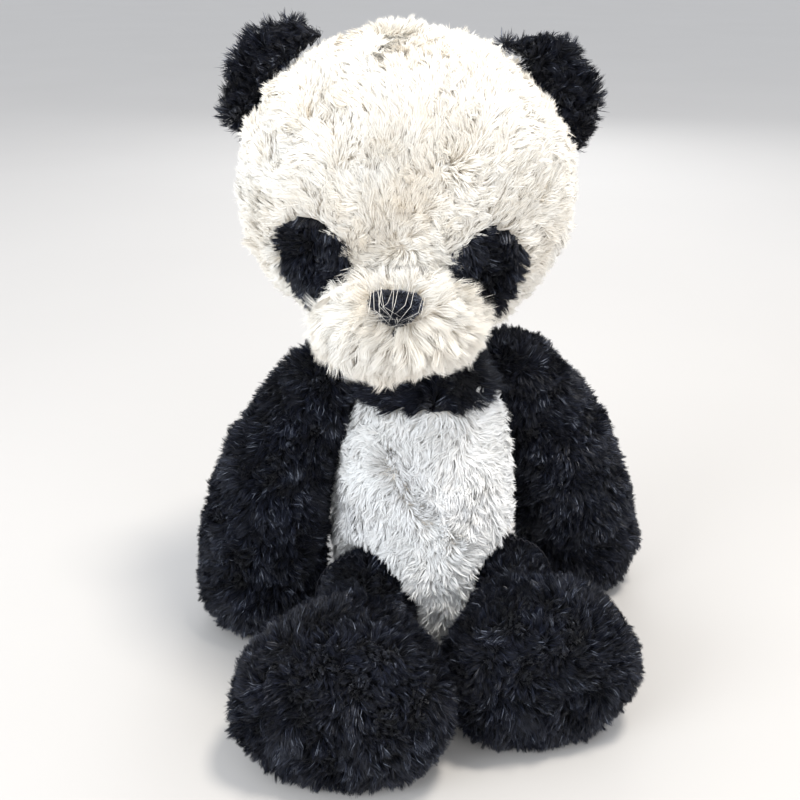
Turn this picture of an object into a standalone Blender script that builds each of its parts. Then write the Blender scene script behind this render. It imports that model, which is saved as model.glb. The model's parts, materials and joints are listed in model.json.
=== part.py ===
"""Seated plush panda: long-pile skin panels over stuffing, with limbs that flex at their seams.

The toy faces -Y and sits on a flat seat at the origin, +Z up, in metres.
Its own left side is at +X.
"""
import math

import bmesh
import bpy
from mathutils import Euler, Matrix, Vector

# Cloth, thread and fits
GAP = 0.0003  # between pieces that touch
SKIN = 0.008  # backing cloth with the dense part of its pile
LIMB_SKIN = 0.007
TAIL_SKIN = 0.004
SEAT_CLOTH = 0.0052
BAG_CLOTH = 0.0012
THREAD_RADIUS = 0.0008
SEAM_ROOM = 0.0039  # round a ball-shaped root, where its seam thread runs
SWEEP_ROOM = 0.0020  # round a leg, wherever it swings

# Torso, a barrel that widens towards its seat
TORSO_CENTRE = Vector((0.0, 0.002, 0.080))
TORSO_HALF = Vector((0.0465, 0.060, 0.0925))
TORSO_POWER = 3.0
TORSO_WIDEN = 0.12
SIDE_SEAM_Y = 0.012
BELLY_TOP_Z = 0.151
BACK_TOP_Z = 0.130

# Pellet bag that weights the seat
BAG_CENTRE = Vector((0.0, 0.022, 0.0285))
BAG_HALF = Vector((0.026, 0.019, 0.024))
BAG_NECK_RADIUS = 0.005

# Tail and blank label, both on the back seam
TAIL_CENTRE = Vector((0.0, 0.066, 0.032))
TAIL_HALF = Vector((0.015, 0.014, 0.015))
LABEL_SIZE = Vector((0.0008, 0.030, 0.020))
LABEL_CENTRE = Vector((0.0, 0.063, 0.078))

# Neck and head; the head's pieces are placed about the head's centre
NECK = Vector((-0.012, 0.004, 0.1755))
NECK_BALL = 0.022
HEAD_TURN = math.radians(-14.5)
HEAD_TILT = math.radians(2.5)
HEAD_CENTRE = Vector((0.0, -0.003, 0.077))  # from the neck
HEAD_HALF = Vector((0.081, 0.075, 0.073))
FOREHEAD_HALF_WIDTH = 0.015
HEAD_SEAM_Y = 0.008

MUZZLE_CENTRE = Vector((0.0, -0.055, -0.040))
MUZZLE_HALF = Vector((0.042, 0.034, 0.033))
NOSE_CENTRE = Vector((0.0, -0.0868, -0.030))
NOSE_HALF = Vector((0.0115, 0.0055, 0.0085))
NOSE_WIDEN = -0.45
FULL_POWER = 2.3  # of the nose and ears, a little fuller than an ellipsoid
MOUTH_TOP_Z = -0.041
MOUTH_BOTTOM_Z = -0.063

PATCH_BEARING = math.radians(34.0)
PATCH_DIP = math.radians(24.5)
PATCH_HALF = Vector((0.0185, 0.0300))
PATCH_FLARE = 0.34  # how much wider its top is than its middle
PATCH_LEAN = math.radians(12.0)  # its point leans outwards
PATCH_CUT = 0.060  # length of the prism that cuts it

EYE_BEARING = math.radians(31.0)
EYE_DIP = math.radians(16.0)
EYE_RADIUS = 0.0050
EYE_SINK = 0.0040
EYE_DOME_ANGLES = (0, 40, 80, 120, 150)  # of its rings, from the front
SHANK_RADIUS = 0.0016
SHANK_LENGTH = 0.0130
WASHER_RADIUS = 0.0060
WASHER_THICKNESS = 0.0012
WASHER_DROP = 0.0030  # behind the cloth, which curves away from the flat washer

# Ears, flat discs that stand out from the head's surface
EAR_ANGLE = math.radians(54.0)  # from straight up
EAR_REACH = 0.0715  # from the head's centre to the ear's
EAR_Y = 0.004
EAR_HALF = Vector((0.0335, 0.0078, 0.0310))
EAR_ROOM = 0.0024  # under the ear, so that it can fold

# Arms hang from ball-shaped roots; distances are from the shoulder
SHOULDER = Vector((0.052, 0.012, 0.145))
ARM_BEND = Vector((0.034, 0.000, -0.029))
ARM_END = Vector((0.034, 0.004, -0.119))
ARM_SPREAD = {"left": 0.018, "right": 0.006}  # how much further out a paw lies
ARM_RADII = (0.022, 0.0228, 0.0275, 0.0315, 0.0330)
SHOULDER_SEAM_BEHIND = 0.010

# Legs point forward from ball-shaped roots; distances are from the hip
HIP = Vector((0.037, -0.033, 0.038))
LEG_ROOT = 0.031
LEG_PROFILE = (
    (0.013, 0.0270),
    (0.025, 0.0262),
    (0.040, 0.0330),
    (0.055, 0.0400),
    (0.069, 0.0425),
    (0.080, 0.0405),
    (0.087, 0.0330),
    (0.090, 0.0150),
)
FOOT_REACH = 0.069  # where the foot is widest
LEAST_RADIUS = 0.004
LIMB_CORE_DEPTH = LIMB_SKIN + 3 * GAP
FOOT_WIDEN = {"left": 0.10, "right": 0.14}
FOOT_FULLNESS = {"left": 0.0, "right": 0.05}  # one foot is stuffed a little fuller
SOLE_Y = -0.074
LEG_PULL = {"left": 1.02, "right": 1.12}  # one leg is pulled out straighter
LEG_SPLAY = {"left": math.radians(-1.0), "right": math.radians(19.5)}
LEG_SPLAY_RANGE = {"left": 30.0, "right": 8.5}
HIP_ROOM = 0.0350  # in the torso's stuffing, behind the leg
HIP_ROOM_AHEAD = 0.004
LEG_SWING_UP = 15.0
LEG_SWING_DOWN = -12.0

SIDES = {"left": 1, "right": -1}
ROOT_ANGLES = (18, 52, 90)  # rings of a ball-shaped root, in degrees
SEAM_RADIUS_OVER_ROOT = THREAD_RADIUS + 2 * GAP
FAR = 0.5  # size of a cutting box that reaches past everything

# Facets of the forms, as segments round and rings from pole to pole
SMALL = {"segments": 12, "rings": 8}
POCKET_FACETS = {"segments": 14, "rings": 9}
EAR_FACETS = {"segments": 16, "rings": 10}
THREAD_FACETS = {"major_segments": 20, "minor_segments": 4}
PATCH_SIDES = 16
ARM_SIDES_STEP = 4
LEG_SIDES_STEP = 5
MOUTH_SIDES_STEP = 2
MERGE = 0.00005  # points closer than this become one


def clear_scene():
    """Remove every object of the open file."""
    for item in list(bpy.data.objects):
        bpy.data.objects.remove(item, do_unlink=True)


def new_collection(name):
    """A collection of the scene."""
    made = bpy.data.collections.new(name)
    bpy.context.scene.collection.children.link(made)
    return made


clear_scene()
TOY = new_collection("plush_panda")
CUTTERS = new_collection("cutters")


def material(name, colour, roughness, sheen=0.0):
    """A Principled material of one colour."""
    made = bpy.data.materials.new(name)
    made.use_nodes = True
    made.diffuse_color = (*colour, 1.0)
    shader = made.node_tree.nodes["Principled BSDF"]
    shader.inputs["Base Color"].default_value = (*colour, 1.0)
    shader.inputs["Roughness"].default_value = roughness
    shader.inputs["Metallic"].default_value = 0.0
    shader.inputs["Sheen Weight"].default_value = sheen
    return made


WHITE_PLUSH = material("white_plush", (0.80, 0.77, 0.71), 0.90, 0.4)
BLACK_PLUSH = material("black_plush", (0.012, 0.013, 0.022), 0.85, 0.3)
NOSE_VELVET = material("nose_velvet", (0.014, 0.016, 0.030), 0.70, 0.3)
EYE_PLASTIC = material("eye_plastic", (0.008, 0.008, 0.010), 0.15)
WASHER_PLASTIC = material("washer_plastic", (0.75, 0.75, 0.73), 0.45)
STUFFING = material("stuffing", (0.86, 0.86, 0.85), 0.95)
BAG_COTTON = material("bag_cotton", (0.72, 0.68, 0.60), 0.90)
PELLETS = material("pellets", (0.62, 0.63, 0.60), 0.50)
BLACK_THREAD = material("black_thread", (0.010, 0.010, 0.014), 0.60)
LABEL_RIBBON = material("label_ribbon", (0.85, 0.85, 0.83), 0.60)


def frame(name, place, rotation=(0.0, 0.0, 0.0), parent=None):
    """An empty on a joint's axes, which carries the pieces of one body."""
    empty = bpy.data.objects.new(name, None)
    empty.location = place
    empty.rotation_euler = rotation
    empty.parent = parent
    empty.empty_display_size = 0.02
    TOY.objects.link(empty)
    return empty


def add_part(name, mesh, skin, parent):
    """One named piece of the toy, shaded smooth."""
    part = bpy.data.objects.new(name, mesh)
    part.data.materials.append(skin)
    part.parent = parent
    TOY.objects.link(part)
    part.data.shade_smooth()
    return part


def add_cutter(name, mesh, parent):
    """A shape that only cuts others."""
    cutter = bpy.data.objects.new(name, mesh)
    cutter.parent = parent
    cutter.hide_render = True
    cutter.display_type = "WIRE"
    CUTTERS.objects.link(cutter)
    return cutter


def boolean(part, cutter, operation):
    """Cut a part with a cutter, or keep only what both hold."""
    step = part.modifiers.new(f"{operation.lower()}_{cutter.name}", "BOOLEAN")
    step.operation = operation
    step.solver = "EXACT"
    step.object = cutter


def cut(part, *cutters):
    """Take each cutter's shape out of a part."""
    for cutter in cutters:
        boolean(part, cutter, "DIFFERENCE")


def keep(part, cutter):
    """Keep what lies inside the cutter."""
    boolean(part, cutter, "INTERSECT")


def finished_mesh(name, form):
    """Turn a bmesh into a mesh with its faces pointing out."""
    form.normal_update()
    bmesh.ops.recalc_face_normals(form, faces=form.faces)
    mesh = bpy.data.meshes.new(name)
    form.to_mesh(mesh)
    form.free()
    return mesh


def blob_mesh(name, centre, half, power=2.0, widen=0.0, segments=18, rings=11, floor=None):
    """A superellipsoid; a positive widen makes it broader low down, and floor flattens it."""
    form = bmesh.new()
    bmesh.ops.create_uvsphere(form, u_segments=segments, v_segments=rings, radius=1.0)
    for vert in form.verts:
        ring = math.hypot(vert.co.x, vert.co.y)
        height = math.copysign(abs(vert.co.z) ** (2.0 / power), vert.co.z)
        spread = ring ** (2.0 / power - 1.0) if ring > 1e-6 else 1.0
        spread *= 1.0 - widen * height
        vert.co.x = centre.x + half.x * vert.co.x * spread
        vert.co.y = centre.y + half.y * vert.co.y * spread
        vert.co.z = centre.z + half.z * height
        if floor is not None:
            vert.co.z = max(vert.co.z, floor)
    return finished_mesh(name, form)


def inset(half, depth):
    """Half sizes less a depth on every side; a negative depth makes them larger."""
    return half - Vector((depth, depth, depth))


def box_mesh(name, low, high):
    """A box between two corners."""
    form = bmesh.new()
    bmesh.ops.create_cube(form, size=1.0)
    low = Vector(low)
    high = Vector(high)
    for vert in form.verts:
        vert.co = low + Vector(
            (
                (vert.co.x + 0.5) * (high.x - low.x),
                (vert.co.y + 0.5) * (high.y - low.y),
                (vert.co.z + 0.5) * (high.z - low.z),
            )
        )
    return finished_mesh(name, form)


def rod_mesh(name, radius, low, high, segments=16):
    """A cylinder about Z between two heights."""
    form = bmesh.new()
    bmesh.ops.create_cone(
        form,
        cap_ends=True,
        segments=segments,
        radius1=radius,
        radius2=radius,
        depth=high - low,
        matrix=Matrix.Translation((0.0, 0.0, (low + high) / 2)),
    )
    return finished_mesh(name, form)


def tube_mesh(name, points, radii, sides_step):
    """A round tube with filled ends through points, with a radius at each."""
    curve = bpy.data.curves.new(name, "CURVE")
    curve.dimensions = "3D"
    curve.bevel_depth = 1.0
    curve.bevel_resolution = sides_step
    curve.use_fill_caps = True
    spline = curve.splines.new("POLY")
    spline.points.add(len(points) - 1)
    for target, point, radius in zip(spline.points, points, radii):
        target.co = (*point, 1.0)
        target.radius = radius
    guide = bpy.data.objects.new(name, curve)
    CUTTERS.objects.link(guide)
    evaluated = guide.evaluated_get(bpy.context.evaluated_depsgraph_get())
    mesh = bpy.data.meshes.new_from_object(evaluated)
    bpy.data.objects.remove(guide)
    form = bmesh.new()
    form.from_mesh(mesh)
    bmesh.ops.remove_doubles(form, verts=form.verts, dist=GAP / 100)
    bpy.data.meshes.remove(mesh)
    return finished_mesh(name, form)


def turned_part(name, profile, skin, parent, segments=12):
    """A profile of (radius, height) points from top to bottom, turned about Z."""
    mesh = bpy.data.meshes.new(name)
    form = bmesh.new()
    corners = [form.verts.new((radius, 0.0, height)) for radius, height in profile]
    for first, second in zip(corners, corners[1:]):
        form.edges.new((first, second))
    form.to_mesh(mesh)
    form.free()
    part = add_part(name, mesh, skin, parent)
    screw = part.modifiers.new("turn", "SCREW")
    screw.axis = "Z"
    screw.steps = segments
    screw.render_steps = segments
    screw.use_merge_vertices = True
    screw.merge_threshold = MERGE
    return part


def ring_part(name, reach, behind, axis, parent):
    """A thread ring about an axis, a reach from the joint's centre and somewhat behind it."""
    bpy.ops.mesh.primitive_torus_add(
        major_radius=math.sqrt(reach * reach - behind * behind),
        minor_radius=THREAD_RADIUS,
        **THREAD_FACETS,
    )
    made = bpy.context.object
    mesh = made.data
    mesh.name = name
    bpy.data.objects.remove(made)
    mesh.transform(Matrix.Translation((0.0, 0.0, -behind)))
    mesh.transform(axis.to_track_quat("Z", "Y").to_matrix().to_4x4())
    return add_part(name, mesh, BLACK_THREAD, parent)


# Torso


def torso_form(name, depth, floor=None):
    """The torso's form, a depth inside its outer surface."""
    return blob_mesh(
        name,
        TORSO_CENTRE,
        inset(TORSO_HALF, depth),
        power=TORSO_POWER,
        widen=TORSO_WIDEN,
        floor=floor,
    )


def torso_regions():
    """The box that each skin panel of the torso is cut from."""
    half = GAP / 2
    seam = SIDE_SEAM_Y
    above_seat = SEAT_CLOTH + GAP
    return {
        "belly_panel": ((-FAR, -FAR, above_seat), (FAR, seam - half, BELLY_TOP_Z - half)),
        "chest_yoke": ((-FAR, -FAR, BELLY_TOP_Z + half), (FAR, seam - half, FAR)),
        "back_yoke": ((-FAR, seam + half, BACK_TOP_Z + half), (FAR, FAR, FAR)),
        "back_panel_left": ((half, seam + half, above_seat), (FAR, FAR, BACK_TOP_Z - half)),
        "back_panel_right": ((-FAR, seam + half, above_seat), (-half, FAR, BACK_TOP_Z - half)),
        "seat_panel": ((-FAR, -FAR, -FAR), (FAR, FAR, SEAT_CLOTH)),
    }


def build_torso(pockets, sweeps, hip_rooms):
    """The torso's skin panels, filling, pellet bag, tail and label."""
    body = frame("torso_frame", (0.0, 0.0, 0.0))
    inner = add_cutter("torso_inner", torso_form("torso_inner", SKIN), body)
    for name, (low, high) in torso_regions().items():
        skin = BLACK_PLUSH if "yoke" in name else WHITE_PLUSH
        panel = add_part(name, torso_form(name, 0.0, floor=0.0), skin, body)
        keep(panel, add_cutter(f"{name}_region", box_mesh(f"{name}_region", low, high), body))
        if name != "seat_panel":
            cut(panel, inner)
        cut(panel, *pockets)
        if name in ("belly_panel", "seat_panel"):
            cut(panel, *sweeps)
    build_filling(body, pockets + hip_rooms)
    build_tail(body)


def build_filling(body, pockets):
    """Loose stuffing over a small sack of pellets that weights the seat."""
    floor = SEAT_CLOTH + GAP
    stuffing_mesh = torso_form("torso_stuffing", SKIN + GAP, floor=floor)
    stuffing = add_part("torso_stuffing", stuffing_mesh, STUFFING, body)
    bag_room = blob_mesh("bag_room", BAG_CENTRE, inset(BAG_HALF, -GAP), **SMALL)
    cut(stuffing, add_cutter("bag_room", bag_room, body), *pockets)

    bag_mesh = blob_mesh("pellet_bag", BAG_CENTRE, BAG_HALF, **SMALL, floor=floor + GAP)
    bag = add_part("pellet_bag", bag_mesh, BAG_COTTON, body)
    inner_floor = floor + GAP + BAG_CLOTH
    inner_half = inset(BAG_HALF, BAG_CLOTH)
    inner = blob_mesh("bag_inner", BAG_CENTRE, inner_half, **SMALL, floor=inner_floor)
    neck = rod_mesh("bag_neck", BAG_NECK_RADIUS, BAG_CENTRE.z, BAG_CENTRE.z + BAG_HALF.z * 2, 10)
    neck.transform(Matrix.Translation((BAG_CENTRE.x, BAG_CENTRE.y, 0.0)))
    cut(bag, add_cutter("bag_inner", inner, body), add_cutter("bag_neck", neck, body))

    fill_half = inset(BAG_HALF, BAG_CLOTH + GAP)
    fill = blob_mesh(
        "pellet_fill",
        BAG_CENTRE,
        fill_half,
        **SMALL,
        floor=inner_floor + GAP,
    )
    add_part("pellet_fill", fill, PELLETS, body)


def build_tail(body):
    """A stub tail and a blank label, both held in the back seam."""
    clear = add_cutter("torso_clear", torso_form("torso_clear", -GAP), body)
    tail_mesh = blob_mesh("tail_cover", TAIL_CENTRE, TAIL_HALF, **SMALL)
    tail = add_part("tail_cover", tail_mesh, WHITE_PLUSH, body)
    inner = blob_mesh("tail_inner", TAIL_CENTRE, inset(TAIL_HALF, TAIL_SKIN), **SMALL)
    cut(tail, add_cutter("tail_inner", inner, body), clear)

    core_half = inset(TAIL_HALF, TAIL_SKIN + GAP)
    core_mesh = blob_mesh("tail_stuffing", TAIL_CENTRE, core_half, **SMALL)
    core = add_part("tail_stuffing", core_mesh, STUFFING, body)
    cut(core, clear)

    low = LABEL_CENTRE - LABEL_SIZE / 2
    high = LABEL_CENTRE + LABEL_SIZE / 2
    label = add_part("sewn_label", box_mesh("sewn_label", low, high), LABEL_RIBBON, body)
    cut(label, clear)


# Neck and head


def build_neck():
    """The stuffing plug that joins head and torso, and the seam thread round it."""
    turned = frame("neck_frame", NECK, (0.0, 0.0, HEAD_TURN))
    ball = Vector((NECK_BALL, NECK_BALL, NECK_BALL))
    plug = blob_mesh("neck_stuffing", Vector(), ball, **SMALL)
    add_part("neck_stuffing", plug, STUFFING, turned)
    tilted = frame("neck_seam_frame", (0.0, 0.0, 0.0), (0.0, HEAD_TILT, 0.0), turned)
    seam_radius = NECK_BALL + SEAM_RADIUS_OVER_ROOT
    ring_part("neck_seam", seam_radius, 0.0, Vector((0, 0, 1)), tilted)
    return tilted


def pocket(name, radius, place, parent=None):
    """A ball-shaped hollow round a root and its seam thread."""
    size = radius + SEAM_ROOM
    mesh = blob_mesh(name, Vector(place), Vector((size, size, size)), **POCKET_FACETS)
    return add_cutter(name, mesh, parent)


def head_form(name, depth):
    """The head's form, a depth inside its outer surface."""
    return blob_mesh(name, Vector(), inset(HEAD_HALF, depth))


def facing(bearing, dip):
    """The direction from the head's centre at a bearing from straight ahead and a dip."""
    return Vector(
        (
            math.sin(bearing) * math.cos(dip),
            -math.cos(bearing) * math.cos(dip),
            -math.sin(dip),
        )
    )


def surface_distance(direction):
    """How far the head's outer surface is from its centre along a direction."""
    scaled = Vector((direction.x / HEAD_HALF.x, direction.y / HEAD_HALF.y, direction.z / HEAD_HALF.z))
    return 1.0 / scaled.length


def outward_turn(direction, lean=0.0):
    """A rotation that points Z along a direction and keeps Y upright."""
    ahead = direction.normalized()
    across = Vector((0, 0, 1)).cross(ahead).normalized()
    upright = ahead.cross(across)
    turn = Matrix((across, upright, ahead)).transposed()
    return turn @ Matrix.Rotation(lean, 3, "Z")


def patch_mesh(name, side, grow):
    """A long prism with a teardrop outline, broad above and narrow below."""
    form = bmesh.new()
    bmesh.ops.create_cone(
        form,
        cap_ends=True,
        segments=PATCH_SIDES,
        radius1=1.0,
        radius2=1.0,
        depth=PATCH_CUT,
    )
    for vert in form.verts:
        flare = 1.0 + PATCH_FLARE * vert.co.y
        vert.co.x *= (PATCH_HALF.x + grow) * flare
        vert.co.y *= PATCH_HALF.y + grow
    direction = facing(PATCH_BEARING * side, PATCH_DIP)
    turn = outward_turn(direction, PATCH_LEAN * side)
    place = Matrix.Translation(direction * surface_distance(direction)) @ turn.to_4x4()
    form.transform(place)
    return finished_mesh(name, form)


def head_regions():
    """The box that each skin panel of the head is cut from."""
    half = GAP / 2
    edge = FOREHEAD_HALF_WIDTH
    front = HEAD_SEAM_Y - half
    return {
        "forehead_panel": ((-edge + half, -FAR, -FAR), (edge - half, front, FAR)),
        "face_panel_left": ((edge + half, -FAR, -FAR), (FAR, front, FAR)),
        "face_panel_right": ((-FAR, -FAR, -FAR), (-edge - half, front, FAR)),
        "head_back_panel": ((-FAR, HEAD_SEAM_Y + half, -FAR), (FAR, FAR, FAR)),
    }


def build_head(tilted):
    """The head's panels, muzzle, nose, mouth, eyes and filling, about the head's centre."""
    centre = frame("head_frame", HEAD_CENTRE, (0.0, 0.0, 0.0), tilted)
    neck_room = pocket("head_neck_pocket", NECK_BALL, -HEAD_CENTRE, centre)
    inner = add_cutter("head_inner", head_form("head_inner", SKIN), centre)
    panels = {}
    for name, (low, high) in head_regions().items():
        panel = add_part(name, head_form(name, 0.0), WHITE_PLUSH, centre)
        keep(panel, add_cutter(f"{name}_region", box_mesh(f"{name}_region", low, high), centre))
        cut(panel, inner, neck_room)
        panels[name] = panel
    stuffing = add_part("head_stuffing", head_form("head_stuffing", SKIN + GAP), STUFFING, centre)
    cut(stuffing, neck_room)
    for side_name, side in SIDES.items():
        patch = build_patch(side_name, side, centre, inner, panels[f"face_panel_{side_name}"])
        build_eye(side_name, side, centre, patch, stuffing)
        build_ear(side_name, side, centre)
    build_muzzle(centre)


def build_patch(side_name, side, centre, inner, face_panel):
    """A black eye patch let into the face panel."""
    name = f"eye_patch_{side_name}"
    patch = add_part(name, head_form(name, 0.0), BLACK_PLUSH, centre)
    outline = add_cutter(f"{name}_outline", patch_mesh(f"{name}_outline", side, 0.0), centre)
    hole = add_cutter(f"{name}_hole", patch_mesh(f"{name}_hole", side, GAP), centre)
    keep(patch, outline)
    cut(patch, inner)
    cut(face_panel, hole)
    return patch


def build_eye(side_name, side, centre, patch, stuffing):
    """A domed eye on a shank, held behind the cloth by a washer."""
    direction = facing(EYE_BEARING * side, EYE_DIP)
    distance = surface_distance(direction)
    turn = outward_turn(direction)
    seat = frame(f"eye_frame_{side_name}", direction * distance, turn.to_euler(), centre)
    steps = [math.radians(angle) for angle in EYE_DOME_ANGLES]
    dome = [(EYE_RADIUS * math.sin(a), EYE_RADIUS * math.cos(a) - EYE_SINK) for a in steps]
    dome[0] = (0.0, dome[0][1])
    dome[-1] = (max(dome[-1][0], SHANK_RADIUS), dome[-1][1])
    end = -EYE_SINK - SHANK_LENGTH
    profile = dome + [(SHANK_RADIUS, dome[-1][1] - GAP), (SHANK_RADIUS, end), (0.0, end)]
    turned_part(f"eye_{side_name}", profile, EYE_PLASTIC, seat)

    ball_size = EYE_RADIUS + GAP
    ball = blob_mesh(
        f"eye_room_{side_name}",
        Vector((0, 0, -EYE_SINK)),
        Vector((ball_size, ball_size, ball_size)),
        **SMALL,
    )
    ball_room = add_cutter(f"eye_room_{side_name}", ball, seat)
    shank_mesh = rod_mesh(f"shank_room_{side_name}", SHANK_RADIUS + GAP, end - GAP, -EYE_SINK, 12)
    shank_room = add_cutter(f"shank_room_{side_name}", shank_mesh, seat)
    cut(patch, ball_room, shank_room)

    washer_top = -SKIN - WASHER_DROP
    washer_low = washer_top - WASHER_THICKNESS
    name = f"eye_washer_{side_name}"
    washer_mesh = rod_mesh(name, WASHER_RADIUS, washer_low, washer_top)
    washer = add_part(name, washer_mesh, WASHER_PLASTIC, seat)
    cut(washer, shank_room)
    room_mesh = rod_mesh(f"washer_room_{side_name}", WASHER_RADIUS + GAP, end - 2 * GAP, 0.0)
    cut(stuffing, add_cutter(f"washer_room_{side_name}", room_mesh, seat))


def build_muzzle(centre):
    """A long-haired muzzle cup on the face, with its filling, nose and mouth thread."""
    clear = add_cutter("head_clear", head_form("head_clear", -GAP), centre)
    cover_mesh = blob_mesh("muzzle_cover", MUZZLE_CENTRE, MUZZLE_HALF, **SMALL)
    cover = add_part("muzzle_cover", cover_mesh, WHITE_PLUSH, centre)
    inner_mesh = blob_mesh(
        "muzzle_inner", MUZZLE_CENTRE, inset(MUZZLE_HALF, SKIN), **SMALL
    )
    cut(cover, add_cutter("muzzle_inner", inner_mesh, centre), clear)

    core_half = inset(MUZZLE_HALF, SKIN + GAP)
    core_mesh = blob_mesh("muzzle_stuffing", MUZZLE_CENTRE, core_half, **SMALL)
    core = add_part("muzzle_stuffing", core_mesh, STUFFING, centre)
    cut(core, clear)

    nose_mesh = blob_mesh(
        "nose", NOSE_CENTRE, NOSE_HALF, power=FULL_POWER, widen=NOSE_WIDEN, **SMALL
    )
    add_part("nose", nose_mesh, NOSE_VELVET, centre)
    room_mesh = blob_mesh(
        "nose_room",
        NOSE_CENTRE,
        inset(NOSE_HALF, -GAP),
        power=FULL_POWER,
        widen=NOSE_WIDEN,
        **SMALL,
    )
    cut(cover, add_cutter("nose_room", room_mesh, centre))

    points = mouth_points()
    radii = [THREAD_RADIUS] * len(points)
    thread = tube_mesh("mouth_stitch", points, radii, MOUTH_SIDES_STEP)
    add_part("mouth_stitch", thread, BLACK_THREAD, centre)
    longer = mouth_points(2 * GAP)
    radii = [THREAD_RADIUS + 2 * GAP] * len(longer)
    groove_mesh = tube_mesh("mouth_groove", longer, radii, MOUTH_SIDES_STEP)
    cut(cover, add_cutter("mouth_groove", groove_mesh, centre))


def mouth_points(spare=0.0, count=7):
    """Points down the middle of the muzzle's surface, with some spare at each end."""
    points = []
    top = MOUTH_TOP_Z + spare
    bottom = MOUTH_BOTTOM_Z - spare
    for index in range(count):
        height = top + (bottom - top) * index / (count - 1)
        share = (height - MUZZLE_CENTRE.z) / MUZZLE_HALF.z
        reach = MUZZLE_HALF.y * math.sqrt(1.0 - share * share)
        points.append(Vector((0.0, MUZZLE_CENTRE.y - reach, height)))
    return points


def build_ear(side_name, side, centre):
    """A flat two-panel ear that stands out from the head and can fold at its root."""
    outward = Vector((math.sin(EAR_ANGLE) * side, 0.0, math.cos(EAR_ANGLE)))
    root = outward * EAR_REACH + Vector((0.0, EAR_Y, 0.0))
    turn = (0.0, EAR_ANGLE * side, 0.0)
    ear = frame(f"ear_frame_{side_name}", root, turn, centre)
    room_mesh = head_form(f"ear_room_{side_name}", -EAR_ROOM)
    room = add_cutter(f"ear_room_{side_name}", room_mesh, centre)
    half = GAP / 2
    regions = {
        f"ear_front_{side_name}": ((-FAR, -FAR, -FAR), (FAR, -half, FAR)),
        f"ear_back_{side_name}": ((-FAR, half, -FAR), (FAR, FAR, FAR)),
    }
    for name, (low, high) in regions.items():
        mesh = blob_mesh(name, Vector(), EAR_HALF, power=FULL_POWER, **EAR_FACETS)
        panel = add_part(name, mesh, BLACK_PLUSH, ear)
        keep(panel, add_cutter(f"{name}_region", box_mesh(f"{name}_region", low, high), ear))
        cut(panel, room)


# Limbs


def root_rings(radius, ahead):
    """Centres and radii of the rings of a ball-shaped root, up to its widest ring."""
    rings = []
    for angle in ROOT_ANGLES:
        back = -radius * math.cos(math.radians(angle))
        rings.append((ahead * back, radius * math.sin(math.radians(angle))))
    return rings


def arm_mesh(name, side, depth, floor):
    """An arm that bends out of the shoulder and hangs to a rounded paw."""
    spread = ARM_SPREAD["left" if side > 0 else "right"]
    bend = Vector((ARM_BEND.x * side, ARM_BEND.y, ARM_BEND.z))
    end = Vector(((ARM_END.x + spread) * side, ARM_END.y, ARM_END.z))
    rings = root_rings(ARM_RADII[0] - depth, bend.normalized())
    last = len(ARM_RADII) - 1
    for index in range(1, len(ARM_RADII)):
        share = index / last
        place = bend * 2 * share * (1 - share) + end * share * share
        rings.append((place, ARM_RADII[index] - depth))
    down = (end - bend).normalized()
    paw = ARM_RADII[-1] - depth
    for angle in reversed(ROOT_ANGLES[:-1]):
        reach = paw * math.cos(math.radians(angle))
        rings.append((end + down * reach, paw * math.sin(math.radians(angle))))
    mesh = tube_mesh(name, [ring[0] for ring in rings], [ring[1] for ring in rings], ARM_SIDES_STEP)
    for vert in mesh.vertices:
        vert.co.z = max(vert.co.z, floor)
    return mesh


def leg_mesh(name, side_name, depth, floor=None):
    """A leg that points to -Y, pinched behind a broad foot with a flat-fronted sole."""
    ahead = Vector((0.0, -1.0, 0.0))
    pull = LEG_PULL[side_name]
    rings = root_rings(LEG_ROOT - depth, ahead)
    for reach, radius in LEG_PROFILE:
        share = reach / LEG_PROFILE[-1][0]
        fuller = radius * (1.0 + FOOT_FULLNESS[side_name] * share)
        rings.append((ahead * (reach * pull - depth * share), max(fuller - depth, LEAST_RADIUS)))
    mesh = tube_mesh(name, [ring[0] for ring in rings], [ring[1] for ring in rings], LEG_SIDES_STEP)
    for vert in mesh.vertices:
        share = min(max(-vert.co.y / (FOOT_REACH * pull), 0.0), 1.0)
        vert.co.x *= 1.0 + FOOT_WIDEN[side_name] * share * share
        if floor is not None:
            vert.co.z = max(vert.co.z, floor)
    return mesh


def shoulder_place(side):
    """The shoulder's centre on one side."""
    return Vector((SHOULDER.x * side, SHOULDER.y, SHOULDER.z))


def hip_place(side):
    """The hip's centre on one side."""
    return Vector((HIP.x * side, HIP.y, HIP.z))


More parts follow.
